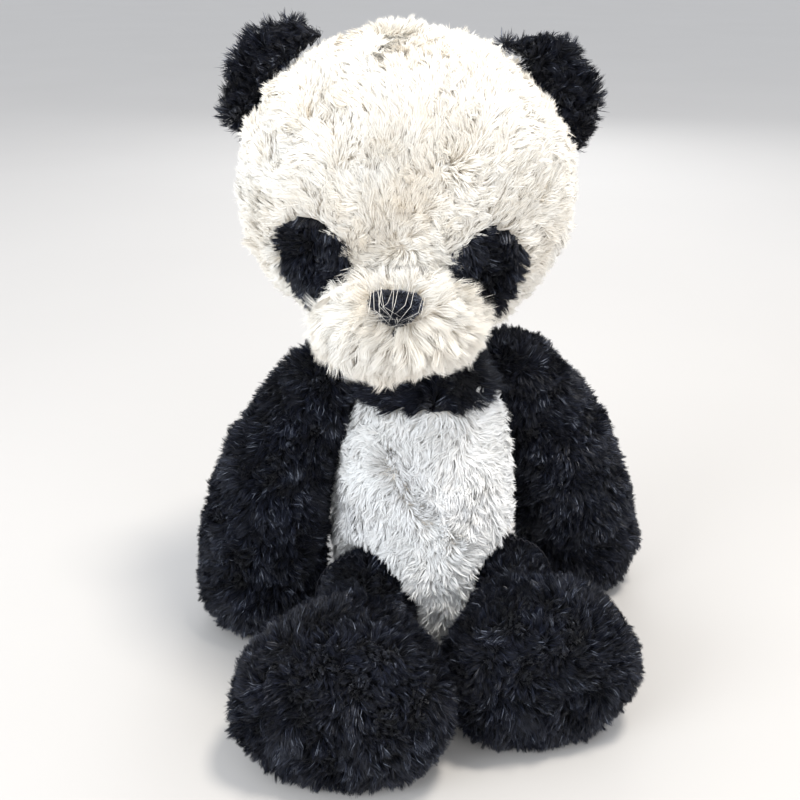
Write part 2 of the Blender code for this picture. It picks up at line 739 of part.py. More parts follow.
def build_arm(side_name, side):
    """An arm's two skin panels, its stuffing and its shoulder seam."""
    place = shoulder_place(side)
    seam = frame(f"shoulder_seam_frame_{side_name}", place)
    ahead = Vector((ARM_BEND.x * side, ARM_BEND.y, ARM_BEND.z))
    seam_radius = ARM_RADII[0] + SEAM_RADIUS_OVER_ROOT
    ring_part(f"shoulder_seam_{side_name}", seam_radius, SHOULDER_SEAM_BEHIND, ahead, seam)
    arm = frame(f"arm_frame_{side_name}", (0.0, 0.0, 0.0), (0.0, 0.0, 0.0), seam)
    inner_mesh = arm_mesh(f"arm_inner_{side_name}", side, LIMB_SKIN, -place.z + LIMB_SKIN)
    inner = add_cutter(f"arm_inner_{side_name}", inner_mesh, arm)
    half = GAP / 2
    regions = {
        f"arm_front_{side_name}": ((-FAR, -FAR, -FAR), (FAR, -half, FAR)),
        f"arm_back_{side_name}": ((-FAR, half, -FAR), (FAR, FAR, FAR)),
    }
    for name, (low, high) in regions.items():
        panel = add_part(name, arm_mesh(name, side, 0.0, -place.z), BLACK_PLUSH, arm)
        keep(panel, add_cutter(f"{name}_region", box_mesh(f"{name}_region", low, high), arm))
        cut(panel, inner)
    name = f"arm_stuffing_{side_name}"
    depth = LIMB_CORE_DEPTH
    add_part(name, arm_mesh(name, side, depth, -place.z + depth), STUFFING, arm)


def leg_regions(side_name, side):
    """The box that each skin panel of a leg is cut from."""
    half = GAP / 2
    sole_y = SOLE_Y * LEG_PULL[side_name]
    behind_sole = sole_y + half
    plus = ((half, behind_sole, -FAR), (FAR, FAR, FAR))
    minus = ((-FAR, behind_sole, -FAR), (-half, FAR, FAR))
    return {
        f"leg_outer_{side_name}": plus if side > 0 else minus,
        f"leg_inner_{side_name}": minus if side > 0 else plus,
        f"foot_sole_{side_name}": ((-FAR, -FAR, -FAR), (FAR, sole_y - half, FAR)),
    }


def build_leg(side_name, side):
    """A leg's skin panels and sole, its stuffing and its hip seam."""
    place = hip_place(side)
    rest = (0.0, 0.0, LEG_SPLAY[side_name] * side)
    seam = frame(f"hip_seam_frame_{side_name}", place, rest)
    seam_radius = LEG_ROOT + SEAM_RADIUS_OVER_ROOT
    ring_part(f"hip_seam_{side_name}", seam_radius, 0.0, Vector((0, -1, 0)), seam)
    leg = frame(f"leg_frame_{side_name}", (0.0, 0.0, 0.0), (0.0, 0.0, 0.0), seam)
    inner_mesh = leg_mesh(
        f"leg_inner_form_{side_name}", side_name, LIMB_SKIN, -place.z + LIMB_SKIN
    )
    inner = add_cutter(f"leg_inner_form_{side_name}", inner_mesh, leg)
    for name, (low, high) in leg_regions(side_name, side).items():
        panel = add_part(name, leg_mesh(name, side_name, 0.0, -place.z), BLACK_PLUSH, leg)
        keep(panel, add_cutter(f"{name}_region", box_mesh(f"{name}_region", low, high), leg))
        cut(panel, inner)
    name = f"leg_stuffing_{side_name}"
    depth = LIMB_CORE_DEPTH
    add_part(name, leg_mesh(name, side_name, depth, -place.z + depth), STUFFING, leg)


def leg_sweeps(side_name, side):
    """A leg's form, a little larger, at rest and at the limits of its swing and splay."""
    most = math.radians(LEG_SPLAY_RANGE[side_name])
    up = math.radians(LEG_SWING_UP)
    down = math.radians(LEG_SWING_DOWN)
    stops = ((0.0, 0.0), (0.0, up), (0.0, down), (most, 0.0), (most, up))
    sweeps = []
    for index, (splay, swing) in enumerate(stops):
        name = f"leg_sweep_{side_name}_{index}"
        turn = Euler((-swing, 0.0, (LEG_SPLAY[side_name] + splay) * side))
        holder = frame(f"{name}_frame", hip_place(side), turn)
        sweeps.append(add_cutter(name, leg_mesh(name, side_name, -SWEEP_ROOM), holder))
    return sweeps


def build_toy():
    """The whole toy: torso first, cut clear of each root, then neck, head and limbs."""
    pockets = [pocket("torso_neck_pocket", NECK_BALL, NECK)]
    sweeps = []
    hip_rooms = []
    for side_name, side in SIDES.items():
        shoulder = shoulder_place(side)
        hip = hip_place(side)
        pockets.append(pocket(f"shoulder_pocket_{side_name}", ARM_RADII[0], shoulder))
        pockets.append(pocket(f"hip_pocket_{side_name}", LEG_ROOT, hip))
        ahead = hip + Vector((0.0, -HIP_ROOM_AHEAD, 0.0))
        hip_rooms.append(pocket(f"hip_room_{side_name}", HIP_ROOM, ahead))
        sweeps.extend(leg_sweeps(side_name, side))
    build_torso(pockets, sweeps, hip_rooms)
    build_head(build_neck())
    for side_name, side in SIDES.items():
        build_arm(side_name, side)
        build_leg(side_name, side)


build_toy()
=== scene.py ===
"""The looks of a seated plush panda: sewn panels of cloth with their pile grown as real strands.

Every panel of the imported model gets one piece: its backing cloth, worked out from the packed
panels themselves, and the strands of fur that are rooted in it. The toy faces -Y, +Z up, metres.
"""
import json
import math
from dataclasses import dataclass, replace

import bmesh
import bpy
import numpy as np
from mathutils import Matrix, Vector
from mathutils.bvhtree import BVHTree

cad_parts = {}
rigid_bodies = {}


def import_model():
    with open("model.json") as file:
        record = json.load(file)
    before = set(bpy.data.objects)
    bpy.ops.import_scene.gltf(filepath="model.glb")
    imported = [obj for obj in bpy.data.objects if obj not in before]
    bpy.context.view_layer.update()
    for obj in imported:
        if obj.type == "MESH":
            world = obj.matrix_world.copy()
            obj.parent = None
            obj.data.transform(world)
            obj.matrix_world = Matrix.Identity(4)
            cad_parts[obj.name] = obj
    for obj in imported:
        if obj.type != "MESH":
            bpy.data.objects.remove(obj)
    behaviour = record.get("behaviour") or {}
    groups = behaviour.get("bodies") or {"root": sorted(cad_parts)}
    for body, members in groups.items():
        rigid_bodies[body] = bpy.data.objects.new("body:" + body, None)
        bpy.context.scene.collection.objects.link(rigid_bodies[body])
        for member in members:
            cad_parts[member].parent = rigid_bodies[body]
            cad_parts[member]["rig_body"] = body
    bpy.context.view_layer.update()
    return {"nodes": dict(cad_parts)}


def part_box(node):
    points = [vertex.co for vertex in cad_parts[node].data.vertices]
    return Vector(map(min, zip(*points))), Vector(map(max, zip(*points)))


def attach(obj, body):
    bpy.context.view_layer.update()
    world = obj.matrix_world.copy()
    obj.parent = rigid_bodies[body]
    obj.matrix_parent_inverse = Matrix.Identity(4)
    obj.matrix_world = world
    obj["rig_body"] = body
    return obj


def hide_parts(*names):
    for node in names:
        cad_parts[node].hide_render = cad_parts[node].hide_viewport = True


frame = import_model()

MM = 0.001
SIDES = {"left": 1.0, "right": -1.0}

# Camera, at the height and angle from which the toy is seen
CAMERA_PLACE = Vector((-0.1091, -0.4532, 0.3610))
CAMERA_YAW = math.radians(12.0)
CAMERA_PITCH = math.radians(25.5)
CAMERA_LENS = 43.5

# Floor and lights
FLOOR_SIZE = 40.0
LIT_SPOT = Vector((0.0, 0.0, 0.15))  # what every light faces

# Cloth
VOXEL = 2.6 * MM
CLOTH = 0.9 * MM
LUMP_SIZE = 34 * MM
LEAST_SUNK = 0.5 * MM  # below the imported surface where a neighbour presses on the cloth
SINK_REACH = (1.5 * MM, 9.0 * MM)  # from a neighbour, where cloth begins to sink and is deepest
FUR_REACH = (1.2 * MM, 3.0 * MM)  # from a neighbour, where fur begins and is full
CLOTH_FLOOR = 0.6 * MM  # no cloth lies lower
CLOTH_FACES = 5  # at most, triangles for each face of the cloth

# Strands of fur
TAPER = (0.8, 1.0, 0.0)  # a strand's width along its length
REACH = (0.0, 0.55, 1.0)  # where along its length each of those lies
STRAND_FACES = 3  # triangles in one strand
MOST_FACES = 190_000  # triangles in one piece
STRAND_FLOOR = 0.4 * MM  # no strand lies lower
SWIRL_SIZE = 42 * MM
FULL_PULL = 0.55  # where the flow is weaker than this, fur stands up and covers the parting
LEAST_LEAN = 0.35  # share of the lean that it keeps there
TURN_SPREAD = (1.0, 0.8, 0.45)  # by tuft, by lock and by strand, as are the next two
LEAN_SPREAD = (6, 8, 6)
LENGTH_SPREAD = (0.07, 0.11, 0.07)
WEAVE = 5.0  # radians of side to side along a strand
ROLL = 0.30  # how far a strand's flat side turns from the cloth

# The bake's map
SHADES = 48  # columns of colour that strands are sorted into
STRAND_UV = 0.75  # share of the map that the strands take
UV_MARGIN = 0.01


@dataclass
class Pile:
    """How one kind of fur grows. Lengths are in metres, angles in degrees."""

    length: float
    width: float
    density: float  # strands in a square millimetre
    lean: float  # from the cloth's normal, at the root
    droop: float  # more lean at the tip
    tuft: float  # size of a tuft
    tuft_pull: float  # how far a tuft's tips come together, 0 to 1
    lock: float  # size of the locks that a tuft is made of
    lock_pull: float
    unruly: float  # how far tufts and locks turn from the flow
    swirl: float  # strength of the flow's slow wandering
    wave: float  # how far a strand weaves from side to side
    depth: float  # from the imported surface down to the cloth


HEAD_PILE = Pile(
    length=8.0 * MM,
    width=0.38 * MM,
    density=7.5,
    lean=55,
    droop=24,
    tuft=7.0 * MM,
    tuft_pull=0.06,
    lock=2.2 * MM,
    lock_pull=0.50,
    unruly=24,
    swirl=0.7,
    wave=0.9 * MM,
    depth=2.0 * MM,
)
BACK_PILE = replace(HEAD_PILE, density=4.0, width=0.42 * MM)
BELLY_PILE = replace(HEAD_PILE, length=8.5 * MM, lean=56, unruly=24, swirl=0.8, wave=1.2 * MM)
BODY_PILE = replace(BELLY_PILE, density=4.0, width=0.42 * MM)
TAIL_PILE = replace(BODY_PILE, length=11 * MM, depth=2.5 * MM)
YOKE_PILE = replace(HEAD_PILE, length=10.5 * MM, lean=36, droop=30, lock=2.3 * MM, swirl=0.6)
LIMB_PILE = Pile(
    length=8.0 * MM,
    width=0.29 * MM,
    density=5.2,
    lean=20,
    droop=34,
    tuft=7.5 * MM,
    tuft_pull=0.22,
    lock=2.5 * MM,
    lock_pull=0.72,
    unruly=50,
    swirl=1.5,
    wave=0.6 * MM,
    depth=1.8 * MM,
)
EAR_PILE = replace(LIMB_PILE, length=8.0 * MM, lean=22, swirl=0.6, depth=2.6 * MM)
PATCH_PILE = replace(LIMB_PILE, length=6.8 * MM, lean=18, density=7.5, depth=2.6 * MM)
MUZZLE_PILE = Pile(
    length=13.5 * MM,
    width=0.25 * MM,
    density=7.5,
    lean=48,
    droop=30,
    tuft=7.0 * MM,
    tuft_pull=0.20,
    lock=2.8 * MM,
    lock_pull=0.66,
    unruly=30,
    swirl=0.8,
    wave=1.4 * MM,
    depth=4.2 * MM,
)
NOSE_PILE = replace(
    LIMB_PILE, length=2.2 * MM, width=0.16 * MM, density=14.0, lock=0.7 * MM, depth=0.8 * MM
)
NECK_PILE = replace(YOKE_PILE, length=9.0 * MM, lean=20, density=1.6, depth=1.5 * MM)

# Single parts
SOLE_RADIUS = 40 * MM
STITCH = 4.0 * MM  # from one stitch to the next round a seam
STITCH_RADIUS = 0.45 * MM
STITCH_SWAY = 1.2 * MM  # to either side of the seam
STITCH_RISE = 0.3 * MM
STITCH_POINTS = 8
WISP_RING = (13.5 * MM, 11.0 * MM)  # the wisps' roots round the nose, across and up
WISP_WIDTH = 0.17 * MM


# Small helpers


def centre_of(*nodes):
    """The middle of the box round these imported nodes."""
    lows, highs = zip(*(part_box(node) for node in nodes))
    low = Vector([min(corner[axis] for corner in lows) for axis in range(3)])
    high = Vector([max(corner[axis] for corner in highs) for axis in range(3)])
    return (low + high) / 2


def unit(vectors):
    """The same vectors at length one."""
    size = np.linalg.norm(vectors, axis=-1, keepdims=True)
    return vectors / np.maximum(size, 1e-9)


class Wander:
    """A smooth vector field without direction of its own, from a few sine waves."""

    def __init__(self, seed, wavelength, waves=7):
        rng = np.random.default_rng(seed)
        self.waves = unit(rng.normal(size=(waves, 3))) * rng.uniform(0.7, 1.6, (waves, 1))
        self.waves *= 2 * math.pi / wavelength
        self.phases = rng.uniform(0, 2 * math.pi, waves)
        self.amounts = rng.normal(size=(waves, 3)) / math.sqrt(waves)

    def __call__(self, points):
        return np.sin(points @ self.waves.T + self.phases) @ self.amounts


def node_shape(nodes):
    """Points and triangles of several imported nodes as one."""
    points, triangles, before = [], [], 0
    for name in nodes:
        mesh = frame["nodes"][name].data
        mesh.calc_loop_triangles()
        points.extend(vert.co.copy() for vert in mesh.vertices)
        triangles.extend(
            tuple(before + index for index in face.vertices) for face in mesh.loop_triangles
        )
        before += len(mesh.vertices)
    return points, triangles


def tree_of(nodes):
    """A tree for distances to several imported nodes."""
    return BVHTree.FromPolygons(*node_shape(nodes))


def distances(tree, points):
    """How far each point is from the tree's surface, at most 40 mm."""
    far = 40 * MM
    found = (tree.find_nearest(Vector(point), far)[3] for point in points)
    return np.array([far if distance is None else distance for distance in found])


def ease(values, low, high):
    """0 below low, 1 above high, and smooth between."""
    share = np.clip((values - low) / (high - low), 0.0, 1.0)
    return share * share * (3 - 2 * share)


# Cloth surfaces


@dataclass
class Surface:
    """A smooth closed skin: points, four-sided faces, normals and what is rooted where."""

    points: np.ndarray
    faces: np.ndarray
    normals: np.ndarray
    bare: np.ndarray  # 1 where fur may grow, 0 where a neighbour presses on the cloth
    owners: np.ndarray  # for each face, the index in its unit's list of panels


def point_normals(points, faces):
    """The average normal of the faces round each point."""
    corners = points[faces]
    crossed = np.cross(corners[:, 2] - corners[:, 0], corners[:, 3] - corners[:, 1])
    total = np.zeros_like(points)
    for corner in range(4):
        np.add.at(total, faces[:, corner], crossed)
    return unit(total)


def smoothed(points, faces, rounds):
    """The points moved towards their neighbours' average, a little in each round."""
    pairs = np.concatenate([faces[:, [k, (k + 1) % 4]] for k in range(4)])
    pairs = np.concatenate([pairs, pairs[:, ::-1]])
    counts = np.bincount(pairs[:, 0], minlength=len(points))[:, None]
    for _ in range(rounds):
        total = np.zeros_like(points)
        np.add.at(total, pairs[:, 0], points[pairs[:, 1]])
        points = 0.5 * points + 0.5 * total / counts
    return points


def voxel_skin(nodes, voxel=VOXEL):
    """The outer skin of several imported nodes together, as points and four-sided faces."""
    mesh = bpy.data.meshes.new("skin")
    points, triangles = node_shape(nodes)
    mesh.from_pydata(points, [], triangles)
    item = bpy.data.objects.new("skin", mesh)
    bpy.context.scene.collection.objects.link(item)
    remesh = item.modifiers.new("remesh", "REMESH")
    remesh.mode = "VOXEL"
    remesh.voxel_size = voxel
    graph = bpy.context.evaluated_depsgraph_get()
    made = bpy.data.meshes.new_from_object(item.evaluated_get(graph))
    bpy.data.objects.remove(item)
    form = bmesh.new()
    form.from_mesh(made)
    keep_largest(form)
    form.verts.index_update()
    points = np.array([vert.co for vert in form.verts], float)
    faces = np.array([[vert.index for vert in face.verts] for face in form.faces], int)
    form.free()
    bpy.data.meshes.remove(made)
    return points, faces


def keep_largest(form):
    """Leaves only the island of faces with the most points."""
    left = set(form.verts)
    islands = []
    while left:
        island = [left.pop()]
        for vert in island:
            for edge in vert.link_edges:
                other = edge.other_vert(vert)
                if other in left:
                    left.discard(other)
                    island.append(other)
        islands.append(island)
    islands.sort(key=len)
    for island in islands[:-1]:
        bmesh.ops.delete(form, geom=island, context="VERTS")


def build_surface(
    panels, fillings, neighbours, depth, seed, voxel=VOXEL, rounds=22, lumps=0.8 * MM, swell=None
):
    """The cloth of one sewn unit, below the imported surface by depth, or less at a joint."""
    points, faces = voxel_skin([*panels, *fillings], voxel)
    points = smoothed(points, faces, rounds)
    normals = point_normals(points, faces)
    near = distances(tree_of(neighbours), points) if neighbours else np.full(len(points), 1.0)
    open_to_air = ease(near, *SINK_REACH)
    bumps = Wander(seed, LUMP_SIZE)(points)[:, :1] * lumps
    sunk = LEAST_SUNK + (depth - bumps) * open_to_air[:, None]
    if swell is not None:
        sunk = sunk - swell(points, normals)[:, None]
    points = points - normals * sunk
    points[:, 2] = np.maximum(points[:, 2], CLOTH_FLOOR)
    points = smoothed(points, faces, 3)
    normals = point_normals(points, faces)
    bare = ease(near, *FUR_REACH)
    middles = points[faces].mean(1)
    each = np.stack([distances(tree_of([panel]), middles) for panel in panels])
    return Surface(points, faces, normals, bare, each.argmin(0))


# Fur


def root_points(surface, chosen, density, rng):
    """Roots scattered over the chosen faces, with the cloth's normal at each."""
    faces = surface.faces[chosen]
    corners = surface.points[faces]
    crossed = np.cross(corners[:, 2] - corners[:, 0], corners[:, 3] - corners[:, 1])
    areas = np.linalg.norm(crossed, axis=1) / 2 * surface.bare[faces].mean(1)
    count = int(areas.sum() / MM / MM * density)
    picked = rng.choice(len(faces), count, p=areas / areas.sum())
    u, v = rng.random((2, count, 1))
    corners = surface.points[faces[picked]]
    slants = surface.normals[faces[picked]]

    def at(values):
        low = values[:, 0] * (1 - u) + values[:, 1] * u
        high = values[:, 3] * (1 - u) + values[:, 2] * u
        return low * (1 - v) + high * v

    return at(corners), unit(at(slants))


def clusters(points, size, rng):
    """The number of the cluster that each point belongs to, with clusters of about that size."""
    wobble = Wander(rng.integers(1 << 30), size * 3.0)(points) * size * 0.45
    cells = np.floor((points + wobble) / size + rng.random(3)).astype(int)
    return np.unique(cells, axis=0, return_inverse=True)[1].ravel()


def cluster_mean(values, cluster):
    """For each point, the average of its cluster's values."""
    total = np.zeros((cluster.max() + 1, *values.shape[1:]))
    np.add.at(total, cluster, values)
    sizes = np.bincount(cluster).reshape(-1, *[1] * (values.ndim - 1))
    return (total / sizes)[cluster]


def pulled(places, cluster, amount, rng):
    """The strands with their tips drawn towards their cluster's average."""
    share = amount * np.array(REACH)[None, :, None] * rng.uniform(0.6, 1.25, (len(places), 1, 1))
    return places + (cluster_mean(places, cluster) - places) * np.minimum(share, 0.95)


def paths(roots, normals, ways, lengths, lean, droop):
    """The points along strands that set off at lean from their normals and bend further over."""
    places = [roots]
    for before, after in zip(REACH, REACH[1:]):
        angle = np.radians(lean + droop * (before + after) / 2)[:, None]
        heading = normals * np.cos(angle) + ways * np.sin(angle)
        places.append(places[-1] + heading * (lengths * (after - before))[:, None])
    return np.stack(places, axis=1)


@dataclass
class Strands:
    """Strands of fur: their points, what each one's flat side faces, and how each looks."""

    places: np.ndarray
    facing: np.ndarray
    widths: np.ndarray
    shades: np.ndarray


def grow(surface, chosen, pile, flow, seed, shade):
    """Fur on the chosen faces, in locks and tufts that follow the flow."""
    rng = np.random.default_rng(seed)
    pile = within_budget(surface, chosen, pile)
    roots, normals = root_points(surface, chosen, pile.density, rng)
    count = len(roots)
    tuft = clusters(roots, pile.tuft, rng)
    lock = clusters(roots, pile.lock, rng)

    def varied(by_tuft, by_lock, by_strand):
        """A random amount for each strand, shared in part by its tuft and its lock."""
        tufts = rng.normal(0, by_tuft, tuft.max() + 1)[tuft]
        locks = rng.normal(0, by_lock, lock.max() + 1)[lock]
        return tufts + locks + rng.normal(0, by_strand, count)

    pulls = flow(roots) + Wander(seed + 1, SWIRL_SIZE)(roots) * pile.swirl
    pulls -= (pulls * normals).sum(1, keepdims=True) * normals
    strength = np.clip(np.linalg.norm(pulls, axis=1) / FULL_PULL, LEAST_LEAN, 1.0)
    ways = unit(pulls)
    turn = np.radians(pile.unruly * varied(*TURN_SPREAD))[:, None]
    ways = ways * np.cos(turn) + np.cross(normals, ways) * np.sin(turn)
    lean = pile.lean * strength + varied(*LEAN_SPREAD)
    lengths = pile.length * np.clip(1 + varied(*LENGTH_SPREAD), 0.55, 1.4)
    places = paths(roots, normals, ways, lengths, lean, pile.droop)
    phase = rng.uniform(0, 2 * math.pi, lock.max() + 1)[lock] + rng.normal(0, 0.5, count)
    weave = np.sin(phase[:, None] + np.array(REACH) * WEAVE) * np.array(REACH) * pile.wave
    places += np.cross(normals, ways)[:, None, :] * weave[:, :, None]
    places = pulled(places, tuft, pile.tuft_pull, rng)
    places = pulled(places, lock, pile.lock_pull, rng)
    places[:, :, 2] = np.maximum(places[:, :, 2], STRAND_FLOOR)

    facing = unit(normals + rng.normal(0, ROLL, (count, 3)))
    widths = pile.width * rng.uniform(0.7, 1.25, count)
    middle, by_group, by_strand = shade
    shades = np.clip(middle + varied(by_group, by_group, by_strand), 0.0, 0.99)
    return Strands(places, facing, widths, shades)


def joined(groups):
    """Several groups of strands as one."""
    kinds = ("places", "facing", "widths", "shades")
    return Strands(*(np.concatenate([getattr(group, kind) for group in groups]) for kind in kinds))


def within_budget(surface, chosen, pile):
    """The same pile, with fewer and wider strands where a piece would hold too many faces."""
    corners = surface.points[surface.faces[chosen]]
    crossed = np.cross(corners[:, 2] - corners[:, 0], corners[:, 3] - corners[:, 1])
    area = (np.linalg.norm(crossed, axis=1) / 2 * surface.bare[surface.faces[chosen]].mean(1)).sum()
    wanted = area / MM / MM * pile.density
    most = (MOST_FACES - CLOTH_FACES * len(chosen)) / STRAND_FACES
    share = min(1.0, most / wanted)
    return replace(pile, density=pile.density * share, width=pile.width / math.sqrt(share))


def strand_mesh_parts(strands):
    """Points, faces, positions in the bake's map and shade and reach for blades of fur."""
    places = strands.places
    count, levels = places.shape[:2]
    along = np.gradient(places, axis=1)
    side = unit(np.cross(along, strands.facing[:, None, :]))
    half = strands.widths[:, None, None] * np.array(TAPER)[None, :, None] / 2
    left = places[:, :-1] + side[:, :-1] * half[:, :-1]
    right = places[:, :-1] - side[:, :-1] * half[:, :-1]
    points = np.concatenate([np.stack([left, right], 2).reshape(count, -1, 3), places[:, -1:]], 1)
    each = points.shape[1]
    quads = np.array([[2 * k, 2 * k + 1, 2 * k + 3, 2 * k + 2] for k in range(levels - 2)])
    tip = np.array([each - 3, each - 2, each - 1])
    base = np.arange(count)[:, None] * each
    corners = np.concatenate([quads.ravel(), tip])
    loops = (base + corners[None, :]).ravel()
    sizes = np.tile(np.array([4] * len(quads) + [3]), count)
    reach = np.repeat(np.array(REACH[:-1]), 2)
    reach = np.append(reach, 1.0)
    column = np.floor(strands.shades * SHADES)
    shade = (column + 0.5) / SHADES
    across_u = np.append(np.tile([0.2, 0.8], levels - 1), 0.5)
    u = (column[:, None] + across_u[None, corners]) / SHADES * STRAND_UV
    v = np.broadcast_to(reach[corners] * (1 - 2 * UV_MARGIN) + UV_MARGIN, u.shape)
    uv = np.stack([u, v], -1).reshape(-1, 2)
    return {
        "points": points.reshape(-1, 3),
        "loops": loops,
        "sizes": sizes,
        "uv": uv,
        "shade": np.repeat(shade, each),
        "reach": np.tile(reach, count),
    }


def cloth_parts(surface, chosen):
    """The chosen faces as cloth with a thickness, closed round its edge."""
    faces = surface.faces[chosen]
    used, flat = np.unique(faces, return_inverse=True)
    faces = flat.reshape(faces.shape)
    count = len(used)
    top = surface.points[used]
    bottom = top - surface.normals[used] * CLOTH
    edges = np.concatenate([faces[:, [k, (k + 1) % 4]] for k in range(4)])
    keys = np.sort(edges, axis=1) @ np.array([count, 1])
    found, where, times = np.unique(keys, return_index=True, return_counts=True)
    rim = edges[where[times == 1]]
    walls = np.stack([rim[:, 1], rim[:, 0], rim[:, 0] + count, rim[:, 1] + count], axis=1)
    every = np.concatenate([faces, faces[:, ::-1] + count, walls])
    points = np.concatenate([top, bottom])
    low, high = points.min(0), points.max(0)
    spot = (points - low) / np.maximum(high - low, 1e-6)
    u = STRAND_UV + 2 * UV_MARGIN + (1 - 4 * UV_MARGIN - STRAND_UV) * spot[:, 0]
    v = UV_MARGIN + (1 - 2 * UV_MARGIN) * spot[:, 2]
    uv = np.stack([u, v], 1)[every.ravel()]
    return {
        "points": points,
        "loops": every.ravel(),
        "sizes": np.full(len(every), 4),
        "uv": uv,
        "shade": np.full(len(points), 0.5),
        "reach": np.zeros(len(points)),
    }


def make_piece(name, parts, materials, body):
    """One mesh piece from several parts, each with its own material, riding on a body."""
    mesh = bpy.data.meshes.new(name)
    before = 0
    loops = []
    for part in parts:
        loops.append(part["loops"] + before)
        before += len(part["points"])
    points = np.concatenate([part["points"] for part in parts])
    loops = np.concatenate(loops)
    sizes = np.concatenate([part["sizes"] for part in parts])
    mesh.vertices.add(len(points))
    mesh.vertices.foreach_set("co", points.astype(np.float32).ravel())
    mesh.loops.add(len(loops))
    mesh.loops.foreach_set("vertex_index", loops.astype(np.int32))
    mesh.polygons.add(len(sizes))
    starts = np.concatenate([[0], np.cumsum(sizes)[:-1]])
    mesh.polygons.foreach_set("loop_start", starts.astype(np.int32))
    slots = np.concatenate([np.full(len(part["sizes"]), i) for i, part in enumerate(parts)])
    mesh.polygons.foreach_set("material_index", slots.astype(np.int32))
    mesh.polygons.foreach_set("use_smooth", np.ones(len(sizes), bool))
    mesh.update(calc_edges=True)
    layer = mesh.uv_layers.new(name="OFBake")
    uv = np.concatenate([part["uv"] for part in parts])
    layer.data.foreach_set("uv", uv.astype(np.float32).ravel())
    for field in ("shade", "reach"):
        values = np.concatenate([part[field] for part in parts])
        attribute = mesh.attributes.new(f"fur_{field}", "FLOAT", "POINT")
        attribute.data.foreach_set("value", values.astype(np.float32))
    for material in materials:
        mesh.materials.append(material)
    item = bpy.data.objects.new(name, mesh)
    bpy.context.scene.collection.objects.link(item)
    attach(item, body)
    return item


# Materials

FIRST_COLOUR, SECOND_COLOUR, MIXED_COLOUR = 6, 7, 2  # sockets of a mix node that share a name
SHEEN_ROUGHNESS = 0.4
FUR_SPECULAR = 0.3


class Nodes:
    """A material under construction, with short ways to add and link nodes."""

    def __init__(self, name, roughness, specular, sheen=0.0):
        self.material = bpy.data.materials.new(name)
        self.material.use_nodes = True
        self.tree = self.material.node_tree
        self.shader = self.tree.nodes["Principled BSDF"]
        self.shader.inputs["Roughness"].default_value = roughness
        self.shader.inputs["Specular IOR Level"].default_value = specular
        self.shader.inputs["Sheen Weight"].default_value = sheen
        self.shader.inputs["Sheen Roughness"].default_value = SHEEN_ROUGHNESS

    def add(self, kind, **values):
        """A node with these socket values, or properties where it has no such socket."""
        node = self.tree.nodes.new(kind)
        for key, value in values.items():
            if key in node.inputs:
                node.inputs[key].default_value = value
            else:
                setattr(node, key.lower(), value)
        return node

    def link(self, source, target):
        """One socket led to another."""
        self.tree.links.new(source, target)

    def ramp(self, source, stops):
        """A colour ramp from a list of (place, colour)."""
        node = self.add("ShaderNodeValToRGB")
        elements = node.color_ramp.elements
        while len(elements) < len(stops):
            elements.new(0.5)
        for element, (place, colour) in zip(elements, stops):
            element.position = place
            element.color = (*colour, 1.0)
        self.link(source, node.inputs["Fac"])
        return node.outputs["Color"]

    def product(self, first, second):
        """Two colours multiplied."""
        node = self.add("ShaderNodeMix", data_type="RGBA", blend_type="MULTIPLY")
        node.inputs["Factor"].default_value = 1.0
        self.link(first, node.inputs[FIRST_COLOUR])
        self.link(second, node.inputs[SECOND_COLOUR])
        return node.outputs[MIXED_COLOUR]

    def noise(self, scale, detail=3.0):
        """Noise in the row frame's metres."""
        place = self.add("ShaderNodeTexCoord")
        node = self.add("ShaderNodeTexNoise", Scale=scale, Detail=detail)
        self.link(place.outputs["Object"], node.inputs["Vector"])
        return node.outputs["Fac"]

    def attribute(self, name):
        """A value that each point of the mesh holds."""
        node = self.add("ShaderNodeAttribute")
        node.attribute_name = name
        return node.outputs["Fac"]

    def bump(self, height, strength, distance):
        """Relief on the shader."""
        node = self.add("ShaderNodeBump", Strength=strength, Distance=distance)
        self.link(height, node.inputs["Height"])
        self.link(node.outputs["Normal"], self.shader.inputs["Normal"])

    def colour(self, socket):
        """The shader's own colour."""
        self.link(socket, self.shader.inputs["Base Color"])


def fur_material(name, tones, painted_root_shade, stain, sheen, rough_low, rough_high):
    """Fur that changes colour by strand and over the toy, with painted shade at the roots."""
    made = Nodes(name, rough_high, FUR_SPECULAR, sheen)
    by_strand = made.ramp(made.attribute("fur_shade"), tones)
    # painted shade: each strand darkens towards its root, deep in the pile where shade falls
    shaded_roots = made.ramp(made.attribute("fur_reach"), [(0.0, painted_root_shade), (0.6, (1, 1, 1))])
    colour = made.product(by_strand, shaded_roots)
    patches = made.ramp(made.noise(26.0), [(0.36, stain), (0.56, (1.0, 1.0, 1.0))])
    made.colour(made.product(colour, patches))
    spread = made.add("ShaderNodeMapRange")
    made.link(made.attribute("fur_shade"), spread.inputs["Value"])
    spread.inputs["To Min"].default_value = rough_high
    spread.inputs["To Max"].default_value = rough_low
    made.link(spread.outputs["Result"], made.shader.inputs["Roughness"])
    made.bump(made.noise(2500.0, 1.0), 0.1, 0.0002)
    return made.material


def grained_material(name, dark, light, scale, roughness, bump, sheen=0.0, specular=0.2):
    """Cloth, thread, wadding or plastic with a fine grain in its colour and its relief."""
    made = Nodes(name, roughness, specular, sheen)
    grain = made.noise(scale)
    made.colour(made.ramp(grain, [(0.3, dark), (0.7, light)]))
    made.bump(grain, bump, 0.4 / scale)
    return made.material


